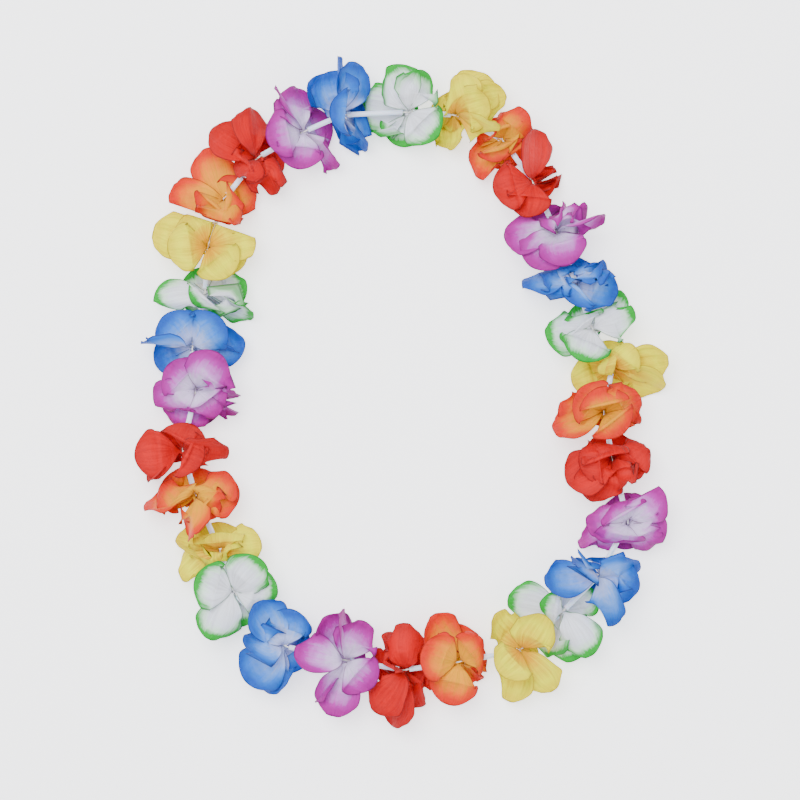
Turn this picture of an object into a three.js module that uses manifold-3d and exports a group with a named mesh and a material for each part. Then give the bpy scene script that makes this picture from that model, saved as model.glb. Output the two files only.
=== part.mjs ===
// An artificial flower lei, laid flat and seen from above: thirty die-cut silk flowers on one thread,
// held apart by short lengths of plastic straw. Millimetres, +Z up, the surface it lies on is z = 0.
import * as THREE from "three";
import { mergeVertices } from "three/addons/utils/BufferGeometryUtils.js";
import Module from "manifold-3d";

const wasm = await Module();
wasm.setup();

// ---------------------------------------------------------------- driving dimensions, mm
const LEI_LENGTH = 428;
const THREAD_HEIGHT = 15;
const THREAD_DIAMETER = 1;
const STRAW_OUTSIDE = 3.4;
const STRAW_BORE = 2.2;
const STRAW_END_GAP = 3.4;
const PETAL_LENGTH = 33;
const PETAL_WIDTH = 30;
const PETAL_WIDEST_AT = 0.62;
const PETAL_TIP_WIDTH = 0.42;
const PETAL_THICKNESS = 0.65;
const ROOT_WIDTH = 1.4;
const ROOT_RADIUS = 2.1;
const LEAST_PETALS = 6;
const LOWERED_PETALS = 2;
const DROP_SHARE = 0.85;
const LEAST_REACH = 20;
const FLOOR_PRESS = 1.5;
const HIDDEN_REACH = 19;
const STACK_STEP = 0.75;
const FLOOR_LAYERS = 2;
const ROOT_STACK = 4.2;
const ROOT_RISE = 0.5;
const ROOT_SLIMNESS = 1.2;
const PETAL_ROWS = [0, 0.34, 0.7, 1];
const TIP_ROUNDING = 0.12;
const SMALLEST_EDGES = [0.3, 0.24, 0.18, 0.12, 0.06, 0.03, 0.01];
const NUDGED_FLOWERS = { 6: 0.12 };
const HUB_RADIUS = 3;
const HUB_THICKNESS = 4.4;
const HUB_HOLE = 3;
const KNOT_RADIUS = 1.7;
const KNOT_TAIL = 9;
const NEIGHBOUR_GAP = 0.8;
const FACE_GAP = 0.17;
const STRAW_CLEARANCE = 3;
const STRAW_STACK = 0.3;

// ---------------------------------------------------------------- the photograph's frame, pixels
const PHOTO_LENGTH = 671;
const PHOTO_CENTRE = [401.6, 393];
const SCALE = LEI_LENGTH / PHOTO_LENGTH;

// Each flower: its dye, its thread hole in the photograph's frame, and its petals as
// [tip x, tip y, tip height over the thread in mm, roll of the face in degrees, curl of the sides in degrees].
const FLOWERS = [
  { dye: "blue", at: [342, 115], petals: [
    [303, 84, -2, 0, 15], [330, 73, 10, 10, 20], [338, 57, 4, 84, 10], [357, 62, 2, 45, 25],
    [329, 146, -10, 15, 20], [368, 151, -2, 72, 20], [330, 114, 20, 0, 40]] },
  { dye: "green", at: [408, 112], petals: [
    [388, 67, 8, 0, 5], [356, 102, -6, 0, 10], [425, 71, 4, 45, 15], [438, 140, 4, 0, 10],
    [400, 146, -6, 0, 5], [367, 129, -8, 50, 10]] },
  { dye: "yellow", at: [456, 115], petals: [
    [442, 79, 14, 0, 30], [490, 77, 2, 0, 10], [508, 97, 0, 20, 10], [488, 104, 14, 25, 15],
    [462, 155, -4, 55, 20], [503, 140, 8, 68, 15], [440, 127, -8, 0, 10]] },
  { dye: "orange", at: [503, 140], petals: [
    [497, 109, 8, 30, 30], [527, 114, 12, 0, -10], [480, 180, -2, 45, 15], [512, 170, 6, 10, 20],
    [533, 150, 0, 0, 10]] },
  { dye: "red", at: [533, 182], petals: [
    [535, 130, 10, 45, 10], [492, 190, 2, 10, 10], [524, 219, 4, 25, 10], [556, 175, -8, 80, 10]] },
  { dye: "purple", at: [556, 231], petals: [
    [529, 214, -4, 0, 15], [551, 191, 4, 72, 15], [582, 199, 6, 52, 15], [606, 217, 2, 74, 15],
    [589, 233, -8, 60, 10], [503, 238, 0, 30, 15], [528, 268, 8, 0, 10], [566, 268, 12, 0, 15]] },
  { dye: "blue", at: [576, 284], petals: [
    [520, 278, 2, 72, 10], [538, 267, 4, 65, 10], [522, 287, -6, 86, 5], [597, 254, 12, 72, 15],
    [605, 262, 2, 40, 10], [617, 297, 8, 30, 10], [560, 296, 12, 0, 15], [555, 261, -2, 0, 10]] },
  { dye: "green", at: [592, 328], petals: [
    [568, 302, 4, 0, 10], [622, 289, -2, 0, 10], [634, 311, 6, 20, 10], [612, 341, -8, 0, 10],
    [544, 333, 2, 0, 5], [578, 362, 8, 0, 5]] },
  { dye: "yellow", at: [612, 368], petals: [
    [668, 360, 4, 40, 5], [632, 350, 14, 0, 5], [666, 387, -2, 55, 10], [587, 365, 12, 0, 5],
    [572, 384, -6, 0, 10], [605, 392, -10, 0, 10]] },
  { dye: "orange", at: [604, 412], petals: [
    [575, 391, 8, 0, 10], [598, 386, 12, 0, 10], [641, 398, 6, 35, 10], [558, 412, -4, 20, 10],
    [552, 431, 2, 50, 10], [622, 435, 10, 0, 10], [643, 422, -2, 45, 10]] },
  { dye: "red", at: [612, 458], petals: [
    [600, 428, 8, 0, 5], [640, 432, 6, 0, 10], [650, 451, 4, 0, 10], [577, 462, 8, 0, 5],
    [566, 483, 2, 20, 10], [590, 502, 0, 0, 10], [618, 491, 4, 65, 10]] },
  { dye: "purple", at: [628, 522], petals: [
    [660, 486, 6, 20, 10], [584, 516, 4, 0, 5], [612, 494, 8, 0, 10], [662, 545, 4, 0, 5],
    [659, 512, -4, 0, 10], [578, 547, -4, 65, 10], [612, 562, 5, 0, 10], [645, 560, 2, 0, 10]] },
  { dye: "blue", at: [598, 576], petals: [
    [569, 556, 8, 80, 10], [640, 563, 8, 55, 10], [542, 581, 6, 45, 10], [639, 590, 2, 30, 10],
    [612, 626, 4, 50, 10]] },
  { dye: "green", at: [562, 612], petals: [
    [506, 602, -2, 0, 5], [538, 602, 12, 10, 10], [593, 582, -2, 0, 5], [592, 655, 4, 0, 5],
    [572, 664, -4, 0, 5], [543, 661, -2, 50, 10]] },
  { dye: "yellow", at: [521, 650], petals: [
    [490, 615, -2, 30, 15], [545, 613, 10, 25, 10], [498, 672, 14, 0, 25], [508, 703, -4, 30, 10],
    [555, 690, 0, 35, 10]] },
  { dye: "orange", at: [459, 662], petals: [
    [425, 618, -2, 0, 5], [452, 624, -6, 0, 10], [488, 640, 6, 0, 10], [420, 648, 10, 0, 10],
    [448, 705, 4, 0, -10], [484, 681, -6, 70, 10]] },
  { dye: "red", at: [404, 670], petals: [
    [383, 633, -2, 60, 10], [405, 621, 4, 0, 10], [354, 657, 10, 84, 10], [374, 713, 0, 30, 10],
    [395, 728, -2, 45, 10], [422, 709, -4, 50, 10], [425, 690, -6, 0, 10]] },
  { dye: "purple", at: [345, 660], petals: [
    [313, 618, -6, 0, 10], [343, 607, 6, 78, 10], [366, 620, 2, 35, 10], [294, 647, 8, 40, 10],
    [311, 702, -4, 70, 10], [333, 716, 2, 15, 10], [375, 686, 6, 10, 10]] },
  { dye: "blue", at: [284, 646], petals: [
    [256, 600, 6, 35, 10], [292, 608, 0, 0, -10], [243, 636, 10, 65, 10], [246, 682, 2, 0, 5],
    [268, 694, -2, 40, 20], [303, 670, -4, 0, 10]] },
  { dye: "green", at: [234, 592], petals: [
    [195, 577, 6, 0, 5], [263, 557, 10, 0, 5], [280, 594, 2, 0, 5], [213, 641, 6, 0, 5],
    [243, 628, -4, 0, 5]] },
  { dye: "yellow", at: [220, 551], petals: [
    [218, 509, 8, 0, 10], [174, 539, -3, 55, 20], [262, 545, 2, 0, 5], [183, 583, -1, 38, 10],
    [235, 584, 12, 70, 10], [215, 573, -4, 0, 10]] },
  { dye: "orange", at: [196, 496], petals: [
    [165, 470, 6, 0, 5], [218, 462, 8, 0, 5], [241, 492, 2, 0, 10], [143, 508, -2, 74, 10],
    [190, 542, 8, 72, 10], [158, 488, -6, 0, 10], [222, 507, 6, 40, 10]] },
  { dye: "red", at: [182, 451], petals: [
    [135, 456, 4, 0, 5], [196, 424, 8, 0, 5], [231, 451, 6, 55, 10], [151, 487, -4, 78, 10],
    [205, 462, 0, 0, 10]] },
  { dye: "purple", at: [196, 390], petals: [
    [168, 364, 6, 0, 5], [222, 353, 8, 20, 5], [241, 395, 0, 76, 10], [238, 414, -3, 82, 10],
    [155, 412, 4, 0, 5], [178, 432, -2, 0, 10], [215, 420, 2, 0, 10]] },
  { dye: "blue", at: [192, 346], petals: [
    [163, 316, 6, 0, 5], [226, 323, 8, 0, -10], [246, 341, -2, 0, 10], [241, 355, -4, 65, 10],
    [141, 343, 2, 82, 10], [153, 365, -8, 0, 10]] },
  { dye: "green", at: [205, 294], petals: [
    [192, 268, -4, 0, 10], [247, 282, -4, 0, 10], [152, 305, 0, 30, 10], [193, 302, 12, 0, 15],
    [249, 303, 0, 78, 15], [254, 317, -3, 68, 10], [218, 315, -8, 0, 10]] },
  { dye: "yellow", at: [208, 246], petals: [
    [153, 231, 0, 0, 15], [168, 250, 10, 0, 5], [185, 214, 2, 0, 10], [257, 232, 4, 0, 5],
    [232, 278, 8, 0, 5], [247, 262, 0, 0, 10]] },
  { dye: "orange", at: [224, 199], petals: [
    [208, 145, -2, 0, 10], [169, 206, 6, 15, 5], [248, 205, 2, 0, 15], [216, 238, 13, 30, 25],
    [205, 222, 4, 0, 15], [255, 182, -2, 35, 15]] },
  { dye: "red", at: [257, 158], petals: [
    [251, 106, 2, 60, 10], [211, 131, 6, 35, 10], [277, 195, 0, 50, 10], [239, 178, 6, 55, 10],
    [271, 143, -4, 0, 10]] },
  { dye: "purple", at: [303, 132], petals: [
    [276, 87, 8, 87, 5], [292, 86, 2, 50, 15], [266, 140, 10, 0, 5], [298, 171, 6, 0, -10],
    [340, 167, -2, 55, 10], [270, 120, -4, 0, 10]] },
];

// Where two neighbours meet, after each flower in turn: [lean, turn] in degrees. A positive lean lays this
// flower's petals over the next one's; turn swings the meeting plane about the vertical.
const MEETINGS = [
  [35, 0], [48, 0], [36, -15], [-50, 0], [42, 0], [42, 0], [42, 0], [40, 20], [-48, 7], [42, -15],
  [36, 10], [-36, 29], [52, 0], [-45, 0], [36, -11], [48, 0], [-40, 0], [50, 0], [52, 0], [50, 0],
  [-48, -20], [-52, 0], [40, 0], [50, 0], [45, 0], [-45, -18], [0, 0], [-42, 0], [-50, 0], [-36, 0],
];
const KNOT_AFTER = 26;

const DYES = {
  blue: "#2f86dd", green: "#9fdcae", yellow: "#f1d43c", orange: "#f6803a", red: "#ee1018", purple: "#d568c8",
};
const UP = new THREE.Vector3(0, 0, 1);
const COUNT = FLOWERS.length;
const centres = FLOWERS.map((flower) => fromPhoto(flower.at[0], flower.at[1], THREAD_HEIGHT));

function fromPhoto(x, y, z) {
  return new THREE.Vector3((x - PHOTO_CENTRE[0]) * SCALE, (PHOTO_CENTRE[1] - y) * SCALE, z);
}

function radians(degrees) {
  return THREE.MathUtils.degToRad(degrees);
}

function smooth(x) {
  return THREE.MathUtils.smoothstep(x, 0, 1);
}

// ---------------------------------------------------------------- what keeps the flowers apart

// The thread's direction through a flower, from the flower before it to the one after it.
function threadDirection(index) {
  const before = centres[(index + COUNT - 1) % COUNT];
  const after = centres[(index + 1) % COUNT];
  return after.clone().sub(before).normalize();
}

// The plane between a flower and the next one, with its normal towards the next one.
function meetingPlane(index) {
  const here = centres[index];
  const next = centres[(index + 1) % COUNT];
  const [lean, turn] = MEETINGS[index];
  const along = next.clone().sub(here).normalize().applyAxisAngle(UP, radians(turn));
  const normal = along.multiplyScalar(Math.cos(radians(lean))).addScaledVector(UP, -Math.sin(radians(lean)));
  return new THREE.Plane().setFromNormalAndCoplanarPoint(normal, here.clone().lerp(next, 0.5));
}

const planes = FLOWERS.map((_, index) => meetingPlane(index));

// Moves a point of a flower back to its own side of both meeting planes, by the gap to each.
function keepBetweenNeighbours(point, index, gapAhead, gapBehind) {
  const ahead = planes[index];
  const behind = planes[(index + COUNT - 1) % COUNT];
  const past = ahead.distanceToPoint(point) + gapAhead;
  if (past > 0) point.addScaledVector(ahead.normal, -past);
  const short = gapBehind - behind.distanceToPoint(point);
  if (short > 0) point.addScaledVector(behind.normal, short);
  return point;
}

// Moves a point clear of the straws on either side, over them or under them.
function keepOffStraws(point, index, { over, clearance }) {
  for (const other of [(index + 1) % COUNT, (index + COUNT - 1) % COUNT]) {
    const along = centres[other].clone().sub(centres[index]);
    const reach = along.length();
    along.normalize();
    const offset = point.clone().sub(centres[index]);
    const run = offset.dot(along);
    if (run < 0 || run > reach) continue;
    const aside = Math.abs(offset.dot(new THREE.Vector3(-along.y, along.x, 0)));
    const near = smooth((4 * STRAW_CLEARANCE - aside) / (2 * STRAW_CLEARANCE)) * smooth(run / STRAW_END_GAP);
    const clear = THREAD_HEIGHT + (over ? clearance : -clearance);
    const moved = over ? Math.max(point.z, clear) : Math.min(point.z, clear);
    point.z = THREE.MathUtils.lerp(point.z, moved, near);
  }
  return point;
}

function settle(point, index, petal) {
  for (let pass = 0; pass < 4; pass += 1) {
    keepOffStraws(point, index, petal);
    keepBetweenNeighbours(point, index, petal.gapAhead, petal.gapBehind);
  }
  point.z = Math.max(point.z, petal.floor);
  return point;
}

// ---------------------------------------------------------------- petals

// Petals that other petals hide hang down and lie along the surface, one each way along the thread.
function hiddenTips(index) {
  const along = threadDirection(index);
  const missing = Math.min(Math.max(LEAST_PETALS - FLOWERS[index].petals.length, 0), 2);
  return [1, -1].slice(0, missing).map((way) => (
    along.clone().multiplyScalar(way * HIDDEN_REACH).add(centres[index]).setZ(1)));
}

// The flower's weight brings a petal down onto the surface, as far as the cloth reaches.
function lower(tip, centre) {
  const across = Math.hypot(tip.x - centre.x, tip.y - centre.y);
  const drop = Math.sqrt(Math.max(PETAL_LENGTH ** 2 - across ** 2, 0)) * DROP_SHARE;
  tip.setZ(Math.min(tip.z, Math.max(THREAD_HEIGHT - drop, -FLOOR_PRESS)));
}

// A petal whose tip is seen close to its root stands up from the thread, or hangs down from it.
function raise(tip, centre) {
  const across = Math.hypot(tip.x - centre.x, tip.y - centre.y);
  const rise = Math.sqrt(Math.max(LEAST_REACH ** 2 - across ** 2, 0));
  const over = tip.z >= THREAD_HEIGHT - 1;
  tip.setZ(over ? Math.max(tip.z, THREAD_HEIGHT + rise) : Math.min(tip.z, THREAD_HEIGHT - rise));
}

// All petals of a flower in their order along the thread, which is the order their cloth is stacked in:
// each is pressed against a neighbour or the surface over the petals that lie there before it.
function petalsOf(index, nudge) {
  const along = threadDirection(index);
  const shown = FLOWERS[index].petals.map(([x, y, height, roll, curl]) => (
    { tip: fromPhoto(x, y, THREAD_HEIGHT + height), roll: radians(roll), curl: radians(curl) }));
  const hidden = hiddenTips(index).map((tip) => ({ tip, roll: 0, curl: radians(12) }));
  const petals = [...shown, ...hidden];
  const lean = ({ tip }) => tip.clone().sub(centres[index]).normalize().dot(along);
  petals.sort((a, b) => lean(a) - lean(b));
  const low = [...petals].sort((a, b) => a.tip.z - b.tip.z);
  low.slice(0, LOWERED_PETALS).forEach(({ tip }) => lower(tip, centres[index]));
  petals.forEach(({ tip }) => raise(tip, centres[index]));
  petals.forEach((petal, rank) => {
    petal.over = petal.tip.z >= THREAD_HEIGHT - 1;
    petal.gapBehind = NEIGHBOUR_GAP + STACK_STEP * rank;
    petal.gapAhead = NEIGHBOUR_GAP + STACK_STEP * (petals.length - 1 - rank);
    petal.nudge = nudge;
    petal.floor = (STACK_STEP + nudge) * Math.min(low.indexOf(petal), FLOOR_LAYERS);
    const away = petal.over ? low.indexOf(petal) : petals.length - 1 - low.indexOf(petal);
    petal.clearance = STRAW_CLEARANCE + STRAW_STACK * away;
    petal.shift = ROOT_STACK * (rank / (petals.length - 1) - 0.5);
  });
  return petals;
}

// The midrib leaves the hub and ends level, as far as its cloth's length allows.
function midrib(index, petal) {
  const { tip } = petal;
  const centre = centres[index];
  const along = threadDirection(index);
  const away = tip.clone().sub(centre).normalize();
  const lean = away.dot(along);
  const square = away.clone().addScaledVector(along, -lean);
  square.z += (petal.over ? 1 : -1) * ROOT_RISE;
  square.normalize();
  const out = square.clone().addScaledVector(along, lean * 0.9).normalize();
  const root = centre.clone().addScaledVector(square, ROOT_RADIUS + petal.nudge).addScaledVector(along, petal.shift);
  const level = tip.clone().sub(centre).setZ(0).normalize();
  let low = 0;
  let high = 1.2;
  let curve;
  for (let pass = 0; pass < 12; pass += 1) {
    const handle = PETAL_LENGTH * (low + high) / 2;
    curve = new THREE.CubicBezierCurve3(
      root, root.clone().addScaledVector(out, handle), tip.clone().addScaledVector(level, -handle), tip);
    if (curve.getLength() > PETAL_LENGTH) high = (low + high) / 2;
    else low = (low + high) / 2;
  }
  return { curve, level };
}

function halfWidth(u) {
  if (u < PETAL_WIDEST_AT) {
    const grown = Math.sin((Math.PI / 2) * (u / PETAL_WIDEST_AT)) ** ROOT_SLIMNESS;
    return THREE.MathUtils.lerp(ROOT_WIDTH, PETAL_WIDTH, grown) / 2;
  }
  const past = (u - PETAL_WIDEST_AT) / (1 - PETAL_WIDEST_AT);
  return (PETAL_WIDTH / 2) * Math.max(Math.sqrt(1 - past * past), PETAL_TIP_WIDTH);
}

// A point of the petal: u runs from root to tip, v from one side to the other, -1 to 1.
function petalPoint({ curve, level }, petal, u, v) {
  const tangent = curve.getTangent(u);
  const side = UP.clone().cross(level).applyAxisAngle(level, petal.roll);
  side.addScaledVector(tangent, -side.dot(tangent)).normalize();
  const tipSide = UP.clone().cross(level).applyAxisAngle(level, petal.roll);
  const normal = tangent.clone().cross(side).multiplyScalar(level.clone().cross(tipSide).z < 0 ? -1 : 1);
  const width = halfWidth(u);
  const curl = Math.abs(petal.curl) < 0.01 ? 0.01 : petal.curl;
  return curve.getPoint(u)
    .addScaledVector(side, width * Math.sin(curl * v) / curl)
    .addScaledVector(normal, width * (1 - Math.cos(curl * v)) / curl);
}

// The way the cloth faces at the middle of a row: the mean of the faces that meet there.
function middleNormal(rows, row) {
  const middle = rows[row][1];
  const sum = new THREE.Vector3();
  const face = (a, b, c) => sum.add(b.clone().sub(a).cross(c.clone().sub(a)).normalize());
  if (row > 0) {
    const [left, before] = rows[row - 1];
    face(left, before, middle);
    face(left, middle, rows[row][0]);
    face(before, rows[row][2], middle);
  }
  if (row + 1 < rows.length) {
    const [, after, right] = rows[row + 1];
    face(rows[row][0], middle, after);
    face(middle, rows[row][2], right);
    face(middle, right, after);
  }
  return sum.normalize();
}

// One petal as a thin closed lens: its sides are shared by the lower and the upper face, and its midrib is
// the petal's thickness higher on the upper face. Both faces are split into triangles alike.
function petalSolid(index, petal) {
  const rib = midrib(index, petal);
  const positions = [];
  const rows = PETAL_ROWS.map((u) => [-1, 0, 1].map((v) => {
    const back = u === 1 && v !== 0 ? TIP_ROUNDING : 0;
    const point = petalPoint(rib, petal, u - back, v);
    return u === 0 ? point : settle(point, index, petal);
  }));
  const put = (point) => positions.push(point.x, point.y, point.z) / 3 - 1;
  const lifts = rows.map((_, row) => middleNormal(rows, row));
  const facing = Math.sign(lifts.reduce((sum, lift) => sum + lift.z, 0)) || 1;
  const numbered = rows.map(([left, middle, right], row) => {
    const lift = lifts[row].clone().normalize().multiplyScalar(facing);
    const raised = middle.clone().addScaledVector(lift, PETAL_THICKNESS + petal.nudge);
    keepBetweenNeighbours(raised, index, FACE_GAP, FACE_GAP).setZ(Math.max(raised.z, 0));
    const low = put(middle);
    const last = row === rows.length - 1;
    return { left: put(left), right: put(right), low, high: last ? low : put(raised) };
  });
  const faces = [];
  for (let row = 0; row + 1 < numbered.length; row += 1) {
    const a = numbered[row];
    const b = numbered[row + 1];
    for (const level of ["low", "high"]) {
      const cells = [[a.left, a[level], b.left, b[level]], [a[level], a.right, b[level], b.right]];
      for (const [p, q, r, s] of cells) {
        const pair = [[p, q, s], [p, s, r]];
        faces.push(...(level === "high" ? pair : pair.map(([i, j, k]) => [i, k, j])));
      }
    }
  }
  const root = numbered[0];
  faces.push([root.left, root.low, root.high], [root.low, root.right, root.high]);
  return closedSolid(positions, faces);
}

// Turns a list of points and triangles into a solid, turned right side out.
function closedSolid(positions, faces) {
  const p = (i) => new THREE.Vector3(...positions.slice(3 * i, 3 * i + 3));
  const volume = faces.reduce((sum, [i, j, k]) => sum + p(i).dot(p(j).clone().cross(p(k))), 0);
  const turned = volume < 0 ? faces.map(([i, j, k]) => [i, k, j]) : faces;
  return new wasm.Manifold(new wasm.Mesh({
    numProp: 3, vertProperties: new Float32Array(positions), triVerts: new Uint32Array(turned.flat()) }));
}

// ---------------------------------------------------------------- solids from and to three.js geometry

function solidFrom(geometry, tolerance = 1e-4) {
  const bare = geometry.clone();
  bare.deleteAttribute("normal");
  bare.deleteAttribute("uv");
  const merged = mergeVertices(bare, tolerance);
  return new wasm.Manifold(new wasm.Mesh({
    numProp: 3,
    vertProperties: new Float32Array(merged.attributes.position.array),
    triVerts: new Uint32Array(merged.index.array),
  }));
}

function geometryFrom(solid) {
  const mesh = solid.getMesh();
  const geometry = new THREE.BufferGeometry();
  const positions = new Float32Array(mesh.numVert * 3);
  for (let i = 0; i < mesh.numVert; i += 1) {
    positions.set(mesh.vertProperties.subarray(i * mesh.numProp, i * mesh.numProp + 3), 3 * i);
  }
  geometry.setAttribute("position", new THREE.BufferAttribute(positions, 3));
  geometry.setIndex(new THREE.BufferAttribute(new Uint32Array(mesh.triVerts), 1));
  geometry.computeVertexNormals();
  return geometry;
}

// Drops the sealed gaps between crossing petals, which fills them.
function largestBody(solid) {
  return solid.decompose().sort((a, b) => b.volume() - a.volume())[0];
}

// Whether every edge of a solid has just two faces, once its corners are rounded.
function hasPlainEdges(solid) {
  const { numProp, vertProperties, triVerts } = solid.getMesh();
  const corner = (i) => Array.from(
    vertProperties.subarray(i * numProp, i * numProp + 3), (x) => Math.round(x * 1e4)).join();
  const uses = new Map();
  for (let t = 0; t < triVerts.length; t += 3) {
    const [a, b, c] = [0, 1, 2].map((k) => corner(triVerts[t + k]));
    if (a === b || b === c || a === c) continue;
    for (const edge of [[a, b], [b, c], [c, a]]) {
      const key = edge.sort().join("|");
      uses.set(key, (uses.get(key) ?? 0) + 1);
    }
  }
  return [...uses.values()].every((count) => count === 2);
}

// Carries a shape made along its own +Z to a place on the thread, facing along it.
function alongThread(geometry, place, direction) {
  const turn = new THREE.Quaternion().setFromUnitVectors(UP, direction);
  return geometry.applyQuaternion(turn).translate(place.x, place.y, place.z);
}

function ringShape(outside, bore, sides) {
  const shape = new THREE.Shape();
  const hole = new THREE.Path();
  for (let k = 0; k < sides; k += 1) {
    const angle = (2 * Math.PI * k) / sides;
    const [x, y] = [Math.cos(angle), Math.sin(angle)];
    if (k === 0) {
      shape.moveTo(outside * x, outside * y);
      hole.moveTo(bore * x, bore * y);
    } else {
      shape.lineTo(outside * x, outside * y);
      hole.lineTo(bore * x, bore * y);
    }
  }
  shape.closePath();
  hole.closePath();
  shape.holes.push(hole);
  return shape;
}

function ring(outside, bore, length, sides) {
  return new THREE.ExtrudeGeometry(ringShape(outside, bore, sides), { depth: length, bevelEnabled: false });
}

// ---------------------------------------------------------------- the pieces

// A flower: the sewn centre with its thread hole, and the petals of both cloth layers grown from it.
function flowerBody(index, nudge) {
  const direction = threadDirection(index);
  const hub = ring(HUB_RADIUS, HUB_HOLE / 2, HUB_THICKNESS, 8).translate(0, 0, -HUB_THICKNESS / 2);
  const hole = new THREE.CylinderGeometry(HUB_HOLE / 2, HUB_HOLE / 2, 3 * HUB_THICKNESS, 8)
    .rotateX(Math.PI / 2);
  let solid = solidFrom(alongThread(hub, centres[index], direction));
  for (const petal of petalsOf(index, nudge)) solid = solid.add(petalSolid(index, petal));
  solid = solid.subtract(solidFrom(alongThread(hole, centres[index], direction)));
  return largestBody(solid);
}

// Taking out the shortest edges can make two surfaces touch: fewer are taken out where that happens,
// and petals that only just touch are moved a hair.
function flower(index) {
  for (const nudge of [0, 0.03, 0.06, 0.1, 0.14]) {
    const body = flowerBody(index, nudge + (NUDGED_FLOWERS[index + 1] ?? 0));
    for (const edge of SMALLEST_EDGES) {
      const geometry = geometryFrom(largestBody(body.simplify(edge)));
      if (hasPlainEdges(solidFrom(geometry, 1e-3))) return geometry;
    }
  }
  throw new Error(`flower ${index + 1} touches itself along an edge`);
}

function straw(index) {
  const from = centres[index];
  const to = centres[(index + 1) % COUNT];
  const direction = to.clone().sub(from).normalize();
  const length = from.distanceTo(to) - 2 * STRAW_END_GAP;
  const start = from.clone().addScaledVector(direction, STRAW_END_GAP);
  return alongThread(ring(STRAW_OUTSIDE / 2, STRAW_BORE / 2, length, 6), start, direction);
}

// The thread's route: straight through each straw, with a short bend in each flower's hole.
function threadRoute() {
  const knot = centres[KNOT_AFTER].clone().lerp(centres[(KNOT_AFTER + 1) % COUNT], 0.5);
  const route = [knot];
  for (let k = 1; k <= COUNT; k += 1) {
    const index = (KNOT_AFTER + k) % COUNT;
    const before = centres[(index + COUNT - 1) % COUNT];
    const after = centres[(index + 1) % COUNT];
    const half = HUB_THICKNESS / 2;
    route.push(centres[index].clone().addScaledVector(before.clone().sub(centres[index]).normalize(), half));
    route.push(centres[index].clone().addScaledVector(after.clone().sub(centres[index]).normalize(), half));
  }
  route.push(knot.clone());
  return route;
}

// A tube through level points, with closed ends.
function tube(route, radius, sides) {
  const positions = [];
  const faces = [];
  route.forEach((point, k) => {
    const before = route[Math.max(k - 1, 0)];
    const after = route[Math.min(k + 1, route.length - 1)];
    const side = after.clone().sub(before).setZ(0).normalize().applyAxisAngle(UP, Math.PI / 2);
    for (let j = 0; j < sides; j += 1) {
      const angle = (2 * Math.PI * j) / sides;
      const edge = point.clone().addScaledVector(side, radius * Math.cos(angle));
      edge.addScaledVector(UP, radius * Math.sin(angle));
      positions.push(edge.x, edge.y, edge.z);
    }
  });
  for (let k = 0; k + 1 < route.length; k += 1) {
    for (let j = 0; j < sides; j += 1) {
      const a = k * sides + j;
      const b = k * sides + ((j + 1) % sides);
      faces.push([a, b, b + sides], [a, b + sides, a + sides]);
    }
  }
  const last = (route.length - 1) * sides;
  for (let j = 1; j + 1 < sides; j += 1) {
    faces.push([0, j + 1, j], [last, last + j, last + j + 1]);
  }
  return closedSolid(positions, faces);
}

// The two thread ends cross in one small knot and trail along the thread on both sides of it.
function thread() {
  const route = threadRoute();
  const knot = route[0];
  const direction = route[1].clone().sub(knot).normalize();
  const side = direction.clone().applyAxisAngle(UP, Math.PI / 2);
  let solid = tube(route, THREAD_DIAMETER / 2, 5);
  const ball = new THREE.SphereGeometry(KNOT_RADIUS, 7, 5).translate(knot.x, knot.y, knot.z);
  solid = solid.add(solidFrom(ball));
  for (const way of [1, -1]) {
    const end = knot.clone().addScaledVector(direction, way * KNOT_TAIL).addScaledVector(side, way * 1.7);
    const bend = knot.clone().addScaledVector(direction, way * 3).addScaledVector(side, way * 1.3);
    solid = solid.add(tube([knot, bend, end], THREAD_DIAMETER / 2, 5));
  }
  return geometryFrom(solid);
}

// ---------------------------------------------------------------- materials and assembly

const cloth = Object.fromEntries(Object.entries(DYES).map(([dye, color]) => (
  [dye, new THREE.MeshStandardMaterial({ color, roughness: 0.75, metalness: 0, side: THREE.DoubleSide })])));
const plastic = new THREE.MeshStandardMaterial({ color: "#e8edf8", roughness: 0.4, metalness: 0 });
const cotton = new THREE.MeshStandardMaterial({ color: "#f4f2ec", roughness: 0.9, metalness: 0 });

function addPiece(group, name, geometry, material) {
  const mesh = new THREE.Mesh(geometry, material);
  mesh.name = name;
  group.add(mesh);
}

function numbered(kind, index) {
  return `${kind}_${String(index + 1).padStart(2, "0")}`;
}

const lei = new THREE.Group();
lei.name = "flower_lei";
FLOWERS.forEach(({ dye }, index) => {
  addPiece(lei, `${numbered("flower", index)}_${dye}`, flower(index), cloth[dye]);
  if (index !== KNOT_AFTER) addPiece(lei, numbered("straw", index), straw(index), plastic);
});
addPiece(lei, "thread", thread(), cotton);

export default lei;
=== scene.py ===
import math

import bpy
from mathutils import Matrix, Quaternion, Vector, noise


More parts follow.
